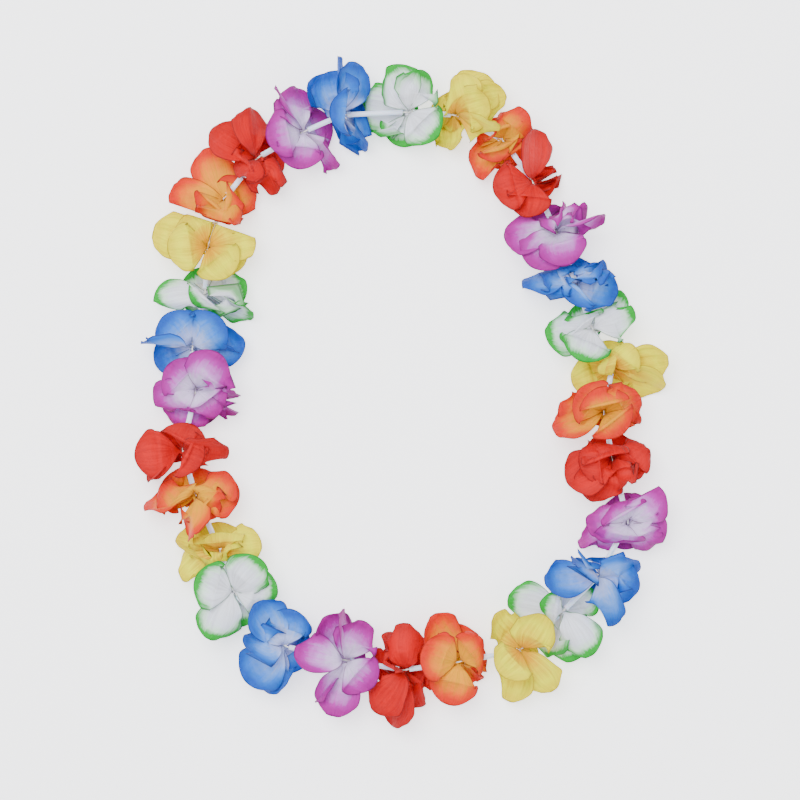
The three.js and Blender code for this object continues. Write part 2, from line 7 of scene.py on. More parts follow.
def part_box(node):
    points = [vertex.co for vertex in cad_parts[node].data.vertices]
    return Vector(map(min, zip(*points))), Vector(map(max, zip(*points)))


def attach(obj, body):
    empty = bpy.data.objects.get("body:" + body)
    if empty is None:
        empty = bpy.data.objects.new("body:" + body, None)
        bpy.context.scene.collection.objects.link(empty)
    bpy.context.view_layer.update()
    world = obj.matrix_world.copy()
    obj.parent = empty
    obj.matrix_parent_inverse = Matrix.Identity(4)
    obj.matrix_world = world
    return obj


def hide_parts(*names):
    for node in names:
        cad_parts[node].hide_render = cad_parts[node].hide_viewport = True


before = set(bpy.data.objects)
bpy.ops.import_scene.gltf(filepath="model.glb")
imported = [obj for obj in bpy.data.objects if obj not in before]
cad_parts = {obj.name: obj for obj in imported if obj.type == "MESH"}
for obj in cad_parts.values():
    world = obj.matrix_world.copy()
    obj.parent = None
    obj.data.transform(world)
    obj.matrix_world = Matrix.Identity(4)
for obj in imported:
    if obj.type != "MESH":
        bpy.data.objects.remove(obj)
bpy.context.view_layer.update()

bl_info = {
    "name": "Silk flower lei",
    "version": (1, 0, 0),
    "blender": (4, 5, 0),
    "location": "View3D > Sidebar > Lei",
    "description": "Thirty die-cut silk flowers on a knotted cotton thread, held apart by plastic straws",
    "category": "Add Mesh",
}

# ---------------------------------------------------------------- the lei's tables
# In millimetres, and in the pixels of the photograph's frame. The solids are made from the same FLOWERS and
# MEETINGS; the cloth here is thinner than their blades, so its layers and its neighbours lie closer.

LEI_LENGTH = 428
PHOTO_LENGTH = 671
PHOTO_CENTRE = (401.6, 393)
SCALE = LEI_LENGTH / PHOTO_LENGTH

THREAD_HEIGHT = 15
THREAD_DIAMETER = 1
STRAW_OUTSIDE = 3.4
STRAW_BORE = 2.2
STRAW_END_GAP = 3.4
STRAW_CLEARANCE = 3
STRAW_STACK = 0.3
HUB_THICKNESS = 4.4
KNOT_AFTER = 26
KNOT_TAIL = 9

PETAL_WIDEST_AT = 0.62
TIP_NARROWING = 0.74
TIP_SETBACK = 0.14
RING_RADIUS = 0.75
RING_HALF_ANGLE = 0.5
ROOT_RADIUS = 2.1
ROOT_STACK = 4.2
ROOT_RISE = 0.5
LOWERED_PETALS = 2
DROP_SHARE = 0.85
LEAST_REACH = 20
FLOOR_PRESS = 1.5
FLOOR_LAYERS = 2
HIDDEN_REACH = 19
HIDDEN_HEIGHT = 1
HIDDEN_CURL = math.radians(12)
STACK_STEP = 0.5
NEIGHBOUR_GAP = 0.4

# Each flower: its dye, its thread hole, and its petals as
# (tip x, tip y, tip height over the thread, roll of the face in degrees, curl of the sides in degrees).
FLOWERS = [
    ("blue", (342, 115), [
        (303, 84, -2, 0, 15), (330, 73, 10, 10, 20), (338, 57, 4, 84, 10), (357, 62, 2, 45, 25),
        (329, 146, -10, 15, 20), (368, 151, -2, 72, 20), (330, 114, 20, 0, 40)]),
    ("green", (408, 112), [
        (388, 67, 8, 0, 5), (356, 102, -6, 0, 10), (425, 71, 4, 45, 15), (438, 140, 4, 0, 10),
        (400, 146, -6, 0, 5), (367, 129, -8, 50, 10)]),
    ("yellow", (456, 115), [
        (442, 79, 14, 0, 30), (490, 77, 2, 0, 10), (508, 97, 0, 20, 10), (488, 104, 14, 25, 15),
        (462, 155, -4, 55, 20), (503, 140, 8, 68, 15), (440, 127, -8, 0, 10)]),
    ("orange", (503, 140), [
        (497, 109, 8, 30, 30), (527, 114, 12, 0, -10), (480, 180, -2, 45, 15), (512, 170, 6, 10, 20),
        (533, 150, 0, 0, 10)]),
    ("red", (533, 182), [
        (535, 130, 10, 45, 10), (492, 190, 2, 10, 10), (524, 219, 4, 25, 10), (556, 175, -8, 80, 10)]),
    ("purple", (556, 231), [
        (529, 214, -4, 0, 15), (551, 191, 4, 72, 15), (582, 199, 6, 52, 15), (606, 217, 2, 74, 15),
        (589, 233, -8, 60, 10), (503, 238, 0, 30, 15), (528, 268, 8, 0, 10), (566, 268, 12, 0, 15)]),
    ("blue", (576, 284), [
        (520, 278, 2, 72, 10), (538, 267, 4, 65, 10), (522, 287, -6, 86, 5), (597, 254, 12, 72, 15),
        (605, 262, 2, 40, 10), (617, 297, 8, 30, 10), (560, 296, 12, 0, 15), (555, 261, -2, 0, 10)]),
    ("green", (592, 328), [
        (568, 302, 4, 0, 10), (622, 289, -2, 0, 10), (634, 311, 6, 20, 10), (612, 341, -8, 0, 10),
        (544, 333, 2, 0, 5), (578, 362, 8, 0, 5)]),
    ("yellow", (612, 368), [
        (668, 360, 4, 40, 5), (632, 350, 14, 0, 5), (666, 387, -2, 55, 10), (587, 365, 12, 0, 5),
        (572, 384, -6, 0, 10), (605, 392, -10, 0, 10)]),
    ("orange", (604, 412), [
        (575, 391, 8, 0, 10), (598, 386, 12, 0, 10), (641, 398, 6, 35, 10), (558, 412, -4, 20, 10),
        (552, 431, 2, 50, 10), (622, 435, 10, 0, 10), (643, 422, -2, 45, 10)]),
    ("red", (612, 458), [
        (600, 428, 8, 0, 5), (640, 432, 6, 0, 10), (650, 451, 4, 0, 10), (577, 462, 8, 0, 5),
        (566, 483, 2, 20, 10), (590, 502, 0, 0, 10), (618, 491, 4, 65, 10)]),
    ("purple", (628, 522), [
        (660, 486, 6, 20, 10), (584, 516, 4, 0, 5), (612, 494, 8, 0, 10), (662, 545, 4, 0, 5),
        (659, 512, -4, 0, 10), (578, 547, -4, 65, 10), (612, 562, 5, 0, 10), (645, 560, 2, 0, 10)]),
    ("blue", (598, 576), [
        (569, 556, 8, 80, 10), (640, 563, 8, 55, 10), (542, 581, 6, 45, 10), (639, 590, 2, 30, 10),
        (612, 626, 4, 50, 10)]),
    ("green", (562, 612), [
        (506, 602, -2, 0, 5), (538, 602, 12, 10, 10), (593, 582, -2, 0, 5), (592, 655, 4, 0, 5),
        (572, 664, -4, 0, 5), (543, 661, -2, 50, 10)]),
    ("yellow", (521, 650), [
        (490, 615, -2, 30, 15), (545, 613, 10, 25, 10), (498, 672, 14, 0, 25), (508, 703, -4, 30, 10),
        (555, 690, 0, 35, 10)]),
    ("orange", (459, 662), [
        (425, 618, -2, 0, 5), (452, 624, -6, 0, 10), (488, 640, 6, 0, 10), (420, 648, 10, 0, 10),
        (448, 705, 4, 0, -10), (484, 681, -6, 70, 10)]),
    ("red", (404, 670), [
        (383, 633, -2, 60, 10), (405, 621, 4, 0, 10), (354, 657, 10, 84, 10), (374, 713, 0, 30, 10),
        (395, 728, -2, 45, 10), (422, 709, -4, 50, 10), (425, 690, -6, 0, 10)]),
    ("purple", (345, 660), [
        (313, 618, -6, 0, 10), (343, 607, 6, 78, 10), (366, 620, 2, 35, 10), (294, 647, 8, 40, 10),
        (311, 702, -4, 70, 10), (333, 716, 2, 15, 10), (375, 686, 6, 10, 10)]),
    ("blue", (284, 646), [
        (256, 600, 6, 35, 10), (292, 608, 0, 0, -10), (243, 636, 10, 65, 10), (246, 682, 2, 0, 5),
        (268, 694, -2, 40, 20), (303, 670, -4, 0, 10)]),
    ("green", (234, 592), [
        (195, 577, 6, 0, 5), (263, 557, 10, 0, 5), (280, 594, 2, 0, 5), (213, 641, 6, 0, 5),
        (243, 628, -4, 0, 5)]),
    ("yellow", (220, 551), [
        (218, 509, 8, 0, 10), (174, 539, -3, 55, 20), (262, 545, 2, 0, 5), (183, 583, -1, 38, 10),
        (235, 584, 12, 70, 10), (215, 573, -4, 0, 10)]),
    ("orange", (196, 496), [
        (165, 470, 6, 0, 5), (218, 462, 8, 0, 5), (241, 492, 2, 0, 10), (143, 508, -2, 74, 10),
        (190, 542, 8, 72, 10), (158, 488, -6, 0, 10), (222, 507, 6, 40, 10)]),
    ("red", (182, 451), [
        (135, 456, 4, 0, 5), (196, 424, 8, 0, 5), (231, 451, 6, 55, 10), (151, 487, -4, 78, 10),
        (205, 462, 0, 0, 10)]),
    ("purple", (196, 390), [
        (168, 364, 6, 0, 5), (222, 353, 8, 20, 5), (241, 395, 0, 76, 10), (238, 414, -3, 82, 10),
        (155, 412, 4, 0, 5), (178, 432, -2, 0, 10), (215, 420, 2, 0, 10)]),
    ("blue", (192, 346), [
        (163, 316, 6, 0, 5), (226, 323, 8, 0, -10), (246, 341, -2, 0, 10), (241, 355, -4, 65, 10),
        (141, 343, 2, 82, 10), (153, 365, -8, 0, 10)]),
    ("green", (205, 294), [
        (192, 268, -4, 0, 10), (247, 282, -4, 0, 10), (152, 305, 0, 30, 10), (193, 302, 12, 0, 15),
        (249, 303, 0, 78, 15), (254, 317, -3, 68, 10), (218, 315, -8, 0, 10)]),
    ("yellow", (208, 246), [
        (153, 231, 0, 0, 15), (168, 250, 10, 0, 5), (185, 214, 2, 0, 10), (257, 232, 4, 0, 5),
        (232, 278, 8, 0, 5), (247, 262, 0, 0, 10)]),
    ("orange", (224, 199), [
        (208, 145, -2, 0, 10), (169, 206, 6, 15, 5), (248, 205, 2, 0, 15), (216, 238, 13, 30, 25),
        (205, 222, 4, 0, 15), (255, 182, -2, 35, 15)]),
    ("red", (257, 158), [
        (251, 106, 2, 60, 10), (211, 131, 6, 35, 10), (277, 195, 0, 50, 10), (239, 178, 6, 55, 10),
        (271, 143, -4, 0, 10)]),
    ("purple", (303, 132), [
        (276, 87, 8, 87, 5), (292, 86, 2, 50, 15), (266, 140, 10, 0, 5), (298, 171, 6, 0, -10),
        (340, 167, -2, 55, 10), (270, 120, -4, 0, 10)]),
]

# Where two neighbours meet, after each flower in turn: (lean, turn) in degrees.
MEETINGS = [
    (35, 0), (48, 0), (36, -15), (-50, 0), (42, 0), (42, 0), (42, 0), (40, 20), (-48, 7), (42, -15),
    (36, 10), (-36, 29), (52, 0), (-45, 0), (36, -11), (48, 0), (-40, 0), (50, 0), (52, 0), (50, 0),
    (-48, -20), (-52, 0), (40, 0), (50, 0), (45, 0), (-45, -18), (0, 0), (-42, 0), (-50, 0), (-36, 0),
]

# The dyed cloth from the heart of the flower to its cut edge: heart, middle, outer half, rim, and the
# cut edge itself, where the heated die has sealed and darkened the threads.
DYES = {
    "blue": ("#c4d4ff", "#6ea6f2", "#1f78dc", "#0b55bd", "#0b2f86"),
    "green": ("#f2f4fb", "#eaeef8", "#d4efda", "#14ac30", "#0a8420"),
    "yellow": ("#f0b400", "#f2dc00", "#f2ee00", "#e8da00", "#b89a00"),
    "orange": ("#f4b000", "#f09000", "#e84a00", "#da2000", "#981800"),
    "red": ("#cc0004", "#d80005", "#d00004", "#c00002", "#7c0000"),
    "purple": ("#e6d6f6", "#d68ade", "#bc2cae", "#a81292", "#700c66"),
}

UP = Vector((0, 0, 1))
COUNT = len(FLOWERS)


def from_photo(x, y, z):
    return Vector(((x - PHOTO_CENTRE[0]) * SCALE, (PHOTO_CENTRE[1] - y) * SCALE, z))


CENTRES = [from_photo(x, y, THREAD_HEIGHT) for _, (x, y), _ in FLOWERS]


def thread_direction(index):
    return (CENTRES[(index + 1) % COUNT] - CENTRES[index - 1]).normalized()


def box_middle(node):
    low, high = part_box(node)
    return (Vector(low) + Vector(high)) * 500


# The frame's origin is under the middle of the CAD box; the first straw shows where that is.
ORIGIN = (CENTRES[0] + CENTRES[1]) / 2 - box_middle("straw_01")
ORIGIN.z = 0


def to_frame(point):
    """A point in the tables' millimetres as one in the frame's metres."""
    return (point - ORIGIN) * 0.001


# ---------------------------------------------------------------- settings that a user would change


class ClothSettings(bpy.types.PropertyGroup):
    petal_length: bpy.props.FloatProperty(
        name="Petal length", description="Length of a petal from the thread to its tip",
        default=0.033, unit="LENGTH")
    petal_width: bpy.props.FloatProperty(
        name="Petal width", description="Greatest width of a petal", default=0.032, unit="LENGTH")
    root_width: bpy.props.FloatProperty(
        name="Root width", description="Width of a petal where it is gathered on the thread",
        default=0.0030, unit="LENGTH")
    thickness: bpy.props.FloatProperty(
        name="Cloth thickness", description="Thickness of the stiffened polyester cloth",
        default=0.00025, unit="LENGTH")
    ripple: bpy.props.FloatProperty(
        name="Ripple", description="Height of the waves that handling leaves in a petal's rim",
        default=0.0012, unit="LENGTH")
    weave: bpy.props.FloatProperty(
        name="Weave spacing", description="Distance between threads of the cloth, as drawn",
        default=0.0008, unit="LENGTH")


class StrawSettings(bpy.types.PropertyGroup):
    outside: bpy.props.FloatProperty(
        name="Outside diameter", description="Outside diameter of a straw",
        default=STRAW_OUTSIDE / 1000, unit="LENGTH")
    bore: bpy.props.FloatProperty(
        name="Bore", description="Inside diameter of a straw", default=STRAW_BORE / 1000, unit="LENGTH")
    color: bpy.props.StringProperty(
        name="Plastic colour", description="Colour of the straws as sRGB hex", default="#e4ebfb")


class ThreadSettings(bpy.types.PropertyGroup):
    diameter: bpy.props.FloatProperty(
        name="Thread diameter", description="Diameter of the cotton thread",
        default=THREAD_DIAMETER / 1000, unit="LENGTH")
    twist: bpy.props.FloatProperty(
        name="Twist", description="Length of one turn of the thread's two plies",
        default=0.0028, unit="LENGTH")
    color: bpy.props.StringProperty(
        name="Thread colour", description="Colour of the cotton as sRGB hex", default="#f4f2ec")


class StageSettings(bpy.types.PropertyGroup):
    floor_color: bpy.props.StringProperty(
        name="Floor colour", description="Colour of the floor as sRGB hex", default="#fbfbfd")
    camera_height: bpy.props.FloatProperty(
        name="Camera height", description="Height of the camera over the thread", default=1.6, unit="LENGTH")


# ---------------------------------------------------------------- materials


def linear(code):
    """An sRGB hex colour as linear red, green, blue and alpha."""
    parts = [int(code[k:k + 2], 16) / 255 for k in (1, 3, 5)]
    return [c / 12.92 if c <= 0.04045 else ((c + 0.055) / 1.055) ** 2.4 for c in parts] + [1]


def add_node(tree, kind, settings=None, inputs=None, links=None):
    """Adds a node with its settings and input values, and links inputs to other nodes' outputs."""
    node = tree.nodes.new(kind)
    for name, value in (settings or {}).items():
        setattr(node, name, value)
    for name, value in (inputs or {}).items():
        node.inputs[name].default_value = value
    for name, output in (links or {}).items():
        tree.links.new(output, node.inputs[name])
    return node


def new_material(name, color):
    material = bpy.data.materials.new(name)
    material.use_nodes = True
    material.node_tree.nodes.clear()
    material.diffuse_color = linear(color)
    return material, material.node_tree


def heat_set_polyester(dye):
    """Woven polyester "silk", dyed through from the heart outwards, stiffened and pressed by a hot die:
    a little shader sheen, veins from heart to rim with painted shade in them and painted light streaks
    between them, and a darker sealed edge."""
    heart, middle, outer, rim, edge = (linear(code) for code in DYES[dye])
    material, tree = new_material(f"heat_set_polyester_{dye}", DYES[dye][2])
    cloth = bpy.context.scene.lei_cloth
    grown = add_node(tree, "ShaderNodeAttribute", {"attribute_name": "petal"})
    across = add_node(tree, "ShaderNodeAttribute", {"attribute_name": "cloth_mm"})
    split = add_node(tree, "ShaderNodeSeparateXYZ", links={"Vector": grown.outputs["Vector"]})
    u, v, petal = (split.outputs[k] for k in "XYZ")
    sizes = add_node(tree, "ShaderNodeSeparateXYZ", links={"Vector": across.outputs["Vector"]})

    # veins: pressed lines from heart to rim, about 2 mm apart in the petal's outer half; they also set where
    # the painted shade and painted light streaks fall
    fan = add_node(tree, "ShaderNodeCombineXYZ")
    wide = add_node(tree, "ShaderNodeMath", {"operation": "MULTIPLY"}, {1: 9}, {0: v})
    long = add_node(tree, "ShaderNodeMath", {"operation": "MULTIPLY"}, {1: 1.1}, {0: u})
    other = add_node(tree, "ShaderNodeMath", {"operation": "MULTIPLY"}, {1: 37}, {0: petal})
    for name, node in (("X", wide), ("Y", long), ("Z", other)):
        tree.links.new(node.outputs[0], fan.inputs[name])
    veins = add_node(
        tree, "ShaderNodeTexNoise", inputs={"Scale": 1, "Detail": 3, "Roughness": 0.6},
        links={"Vector": fan.outputs[0]})
    blots = add_node(
        tree, "ShaderNodeTexNoise", inputs={"Scale": 0.16, "Detail": 3, "Roughness": 0.55},
        links={"Vector": across.outputs["Vector"]})

    # the dye: how far it has run along each vein
    run = add_node(tree, "ShaderNodeMath", {"operation": "MULTIPLY_ADD"}, {1: 0.42, 2: -0.21},
                   {0: veins.outputs["Fac"]})
    spread = add_node(tree, "ShaderNodeMath", {"operation": "MULTIPLY_ADD"}, {1: 0.3, 2: -0.15},
                      {0: blots.outputs["Fac"]})
    place = add_node(tree, "ShaderNodeMath", {"operation": "ADD"}, links={0: u, 1: run.outputs[0]})
    place = add_node(tree, "ShaderNodeMath", {"operation": "ADD"},
                     links={0: place.outputs[0], 1: spread.outputs[0]})
    ramp = add_node(tree, "ShaderNodeValToRGB", links={"Fac": place.outputs[0]})
    stops = RAMP_STOPS[dye]
    ramp.color_ramp.elements[0].position, ramp.color_ramp.elements[0].color = stops[0], heart
    ramp.color_ramp.elements[1].position, ramp.color_ramp.elements[1].color = stops[3], rim
    for position, color in ((stops[1], middle), (stops[2], outer)):
        ramp.color_ramp.elements.new(position).color = color

    # painted shade in the veins and painted light streaks between them: the dye colour is darkened to 0.82
    # in the veins and lifted to 1.04 outside them
    vein_painted_shade = add_node(tree, "ShaderNodeMapRange", {"clamp": True},
                    {"From Min": 0.32, "From Max": 0.62, "To Min": 0.82, "To Max": 1.04},
                    {"Value": veins.outputs["Fac"]})
    shaded = add_node(tree, "ShaderNodeMix", {"data_type": "RGBA", "blend_type": "MULTIPLY"}, {"Factor": 1},
                      {6: ramp.outputs["Color"], 7: vein_painted_shade.outputs[0]})

    # the sealed edge, about 0.4 mm of darker and harder cloth
    sealed = add_node(tree, "ShaderNodeMapRange", {"clamp": True},
                      {"From Min": 0.25, "From Max": 0.75, "To Min": 0.75, "To Max": 0},
                      {"Value": sizes.outputs["Z"]})
    edged = add_node(tree, "ShaderNodeMix", {"data_type": "RGBA"}, {7: edge},
                     {"Factor": sealed.outputs[0], 6: shaded.outputs[2]})

    # bump: the weave, the veins and the crinkles of the pressed cloth
    pitch = 2 * math.pi / (cloth.weave * 1000)
    warp = add_node(tree, "ShaderNodeMath", {"operation": "MULTIPLY"}, {1: pitch}, {0: sizes.outputs["X"]})
    weft = add_node(tree, "ShaderNodeMath", {"operation": "MULTIPLY"}, {1: pitch}, {0: sizes.outputs["Y"]})
    warp = add_node(tree, "ShaderNodeMath", {"operation": "SINE"}, links={0: warp.outputs[0]})
    weft = add_node(tree, "ShaderNodeMath", {"operation": "SINE"}, links={0: weft.outputs[0]})
    cross = add_node(tree, "ShaderNodeMath", {"operation": "MULTIPLY"},
                     links={0: warp.outputs[0], 1: weft.outputs[0]})
    woven = add_node(tree, "ShaderNodeBump", inputs={"Strength": 0.35, "Distance": 0.00012},
                     links={"Height": cross.outputs[0]})
    veined = add_node(tree, "ShaderNodeBump", inputs={"Strength": 0.6, "Distance": 0.0008},
                      links={"Height": veins.outputs["Fac"], "Normal": woven.outputs["Normal"]})
    crinkled = add_node(tree, "ShaderNodeBump", inputs={"Strength": 0.5, "Distance": 0.0016},
                        links={"Height": blots.outputs["Fac"], "Normal": veined.outputs["Normal"]})

    shader = add_node(
        tree, "ShaderNodeBsdfPrincipled",
        inputs={"Roughness": 0.55, "IOR": 1.45, "Sheen Weight": 0.08, "Sheen Roughness": 0.4,
                "Specular IOR Level": 0.3},
        links={"Base Color": edged.outputs[2], "Normal": crinkled.outputs["Normal"]})
    through = add_node(tree, "ShaderNodeBsdfTranslucent",
                       links={"Color": edged.outputs[2], "Normal": crinkled.outputs["Normal"]})
    mixed = add_node(tree, "ShaderNodeMixShader", inputs={0: 0.28},
                     links={1: shader.outputs[0], 2: through.outputs[0]})
    add_node(tree, "ShaderNodeOutputMaterial", links={"Surface": mixed.outputs[0]})
    return material


# Where along a petal each of the dye's first four colours is reached.
RAMP_STOPS = {
    "blue": (0.15, 0.36, 0.62, 0.9), "green": (0.2, 0.48, 0.68, 0.9), "yellow": (0.12, 0.34, 0.6, 0.95),
    "orange": (0.2, 0.45, 0.7, 0.92), "red": (0.1, 0.4, 0.7, 0.95), "purple": (0.2, 0.4, 0.64, 0.9),
}


def extruded_polypropylene():
    """Milky polypropylene straw, extruded and cut: smooth, with faint draw lines along it."""
    straws = bpy.context.scene.lei_straws
    material, tree = new_material("extruded_polypropylene", straws.color)
    where = add_node(tree, "ShaderNodeAttribute", {"attribute_name": "cloth_mm"})
    drawn = add_node(tree, "ShaderNodeMapping", inputs={"Scale": (2.4, 2.4, 0.12)},
                     links={"Vector": where.outputs["Vector"]})
    lines = add_node(tree, "ShaderNodeTexNoise", inputs={"Scale": 1, "Detail": 2},
                     links={"Vector": drawn.outputs[0]})
    tint = add_node(tree, "ShaderNodeMix", {"data_type": "RGBA"},
                    {6: linear("#cfd8f0"), 7: linear(straws.color)}, {"Factor": lines.outputs["Fac"]})
    bump = add_node(tree, "ShaderNodeBump", inputs={"Strength": 0.3, "Distance": 0.0002},
                    links={"Height": lines.outputs["Fac"]})
    shader = add_node(
        tree, "ShaderNodeBsdfPrincipled",
        inputs={"Roughness": 0.32, "IOR": 1.49, "Subsurface Weight": 0.3, "Subsurface Scale": 0.002},
        links={"Base Color": tint.outputs[2], "Normal": bump.outputs["Normal"]})
    add_node(tree, "ShaderNodeOutputMaterial", links={"Surface": shader.outputs[0]})
    return material


def twisted_cotton():
    """Two-ply cotton thread: matt, with the twist of its plies and a little fluff."""
    thread = bpy.context.scene.lei_thread
    material, tree = new_material("twisted_cotton", thread.color)
    where = add_node(tree, "ShaderNodeAttribute", {"attribute_name": "cloth_mm"})
    fluff = add_node(tree, "ShaderNodeTexNoise", inputs={"Scale": 3.5, "Detail": 4},
                     links={"Vector": where.outputs["Vector"]})
    tint = add_node(tree, "ShaderNodeMix", {"data_type": "RGBA"},
                    {6: linear("#dcd8cc"), 7: linear(thread.color)}, {"Factor": fluff.outputs["Fac"]})
    bump = add_node(tree, "ShaderNodeBump", inputs={"Strength": 0.6, "Distance": 0.0001},
                    links={"Height": fluff.outputs["Fac"]})
    shader = add_node(
        tree, "ShaderNodeBsdfPrincipled", inputs={"Roughness": 0.9, "IOR": 1.5, "Sheen Weight": 0.3},
        links={"Base Color": tint.outputs[2], "Normal": bump.outputs["Normal"]})
    add_node(tree, "ShaderNodeOutputMaterial", links={"Surface": shader.outputs[0]})
    return material


# ---------------------------------------------------------------- where the cloth may lie


def smooth(x):
    x = min(max(x, 0), 1)
    return x * x * (3 - 2 * x)


def meeting_plane(index):
    """The plane half way to the next flower, as a point on it and its normal, which looks ahead."""
    lean, turn = (math.radians(angle) for angle in MEETINGS[index])
    here, there = CENTRES[index], CENTRES[(index + 1) % COUNT]
    along = (there - here).normalized()
    along.rotate(Quaternion(UP, turn))
    return (here + there) / 2, along * math.cos(lean) - UP * math.sin(lean)


PLANES = [meeting_plane(index) for index in range(COUNT)]


def keep_between_neighbours(point, index, gap_ahead, gap_behind):
    """Moves a point back over the planes where this flower meets its neighbours."""
    for (place, normal), way, gap in ((PLANES[index], 1, gap_ahead), (PLANES[index - 1], -1, gap_behind)):
        past = way * (point - place).dot(normal) + gap
        if past > 0:
            point = point - normal * (way * past)
    return point


def keep_off_straws(point, index, over, clearance):
    """Moves a point clear of the straws on either side, over them or under them."""
    for other in ((index + 1) % COUNT, index - 1):
        along = CENTRES[other] - CENTRES[index]
        reach = along.length
        along.normalize()
        offset = point - CENTRES[index]
        run = offset.dot(along)
        if run < 0 or run > reach:
            continue
        aside = abs(offset.dot(Vector((-along.y, along.x, 0))))
        near = smooth((4 * STRAW_CLEARANCE - aside) / (2 * STRAW_CLEARANCE)) * smooth(run / STRAW_END_GAP)
        clear = THREAD_HEIGHT + (clearance if over else -clearance)
        moved = max(point.z, clear) if over else min(point.z, clear)
        point = Vector((point.x, point.y, point.z + (moved - point.z) * near))
    return point


# ---------------------------------------------------------------- petals


def hidden_tips(index):
    """The tips of the two low petals that fill the room between this flower and its neighbours."""
    tips = []
    for way in (1, -1):
        tip = CENTRES[index] + thread_direction(index) * way * HIDDEN_REACH
        tip.z = HIDDEN_HEIGHT
        tips.append(tip)
    return tips


def petals_of(index, length):
    """All petals of a flower in the order along the thread in which their cloth is stacked."""
    along, centre = thread_direction(index), CENTRES[index]
    petals = [
        {"tip": from_photo(x, y, THREAD_HEIGHT + height), "roll": math.radians(roll),
         "curl": math.radians(curl)}
        for x, y, height, roll, curl in FLOWERS[index][2]]
    petals += [{"tip": tip, "roll": 0, "curl": HIDDEN_CURL} for tip in hidden_tips(index)]
    petals.sort(key=lambda petal: (petal["tip"] - centre).normalized().dot(along))
    low = sorted(petals, key=lambda petal: petal["tip"].z)
    for petal in low[:LOWERED_PETALS]:
        tip = petal["tip"]
        across = math.hypot(tip.x - centre.x, tip.y - centre.y)
        drop = math.sqrt(max(length ** 2 - across ** 2, 0)) * DROP_SHARE
        tip.z = min(tip.z, max(THREAD_HEIGHT - drop, -FLOOR_PRESS))
    for petal in petals:
        tip = petal["tip"]
        across = math.hypot(tip.x - centre.x, tip.y - centre.y)
        rise = math.sqrt(max(LEAST_REACH ** 2 - across ** 2, 0))
        over = tip.z >= THREAD_HEIGHT - 1
        tip.z = max(tip.z, THREAD_HEIGHT + rise) if over else min(tip.z, THREAD_HEIGHT - rise)
    last = len(petals) - 1
    for rank, petal in enumerate(petals):
        level = low.index(petal)
        petal["over"] = petal["tip"].z >= THREAD_HEIGHT - 1
        petal["behind"] = NEIGHBOUR_GAP + STACK_STEP * rank
        petal["ahead"] = NEIGHBOUR_GAP + STACK_STEP * (last - rank)
        petal["floor"] = STACK_STEP * min(level, FLOOR_LAYERS)
        petal["clearance"] = STRAW_CLEARANCE + STRAW_STACK * (level if petal["over"] else last - level)
        petal["shift"] = ROOT_STACK * (rank / last - 0.5)
        petal["number"] = rank
    return petals


def bezier(points, t):
    a, b, c, d = points
    s = 1 - t
    return a * (s * s * s) + b * (3 * s * s * t) + c * (3 * s * t * t) + d * (t * t * t)


def bezier_tangent(points, t):
    a, b, c, d = points
    s = 1 - t
    return ((b - a) * (s * s) + (c - b) * (2 * s * t) + (d - c) * (t * t)).normalized()


def even_stations(points, count):
    """The parameters that cut a curve into equal lengths, and the curve's length."""
    steps = 60
    places = [bezier(points, k / steps) for k in range(steps + 1)]
    sums = [0]
    for before, after in zip(places, places[1:]):
        sums.append(sums[-1] + (after - before).length)
    stations, k = [], 0
    for row in range(count + 1):
        goal = sums[-1] * row / count
        while k < steps - 1 and sums[k + 1] < goal:
            k += 1
        stations.append((k + (goal - sums[k]) / max(sums[k + 1] - sums[k], 1e-9)) / steps)
    return stations, sums[-1]


def midrib(index, petal, length):
    """The petal's middle line: it leaves the thread and ends level, as far as its cloth's length allows."""
    tip, centre, along = petal["tip"], CENTRES[index], thread_direction(index)
    away = (tip - centre).normalized()
    lean = away.dot(along)
    square = away - along * lean
    square.z += ROOT_RISE if petal["over"] else -ROOT_RISE
    square.normalize()
    out = (square + along * lean * 0.9).normalized()
    root = centre + square * ROOT_RADIUS + along * petal["shift"]
    level = Vector((tip.x - centre.x, tip.y - centre.y, 0)).normalized()
    low, high, points = 0, 1.2, None
    for _ in range(12):
        handle = length * (low + high) / 2
        points = (root, root + out * handle, tip - level * handle, tip)
        if even_stations(points, 1)[1] > length:
            high = (low + high) / 2
        else:
            low = (low + high) / 2
    return points, level, square


ROWS = 20
COLUMNS = 14


def half_width(u, width, root):
    if u < PETAL_WIDEST_AT:
        grown = math.sin(math.pi / 2 * u / PETAL_WIDEST_AT) ** 0.95
        return (root + (width - root) * grown) / 2
    past = (u - PETAL_WIDEST_AT) / (1 - PETAL_WIDEST_AT)
    return width / 2 * math.sqrt(1 - (TIP_NARROWING * past) ** 2)


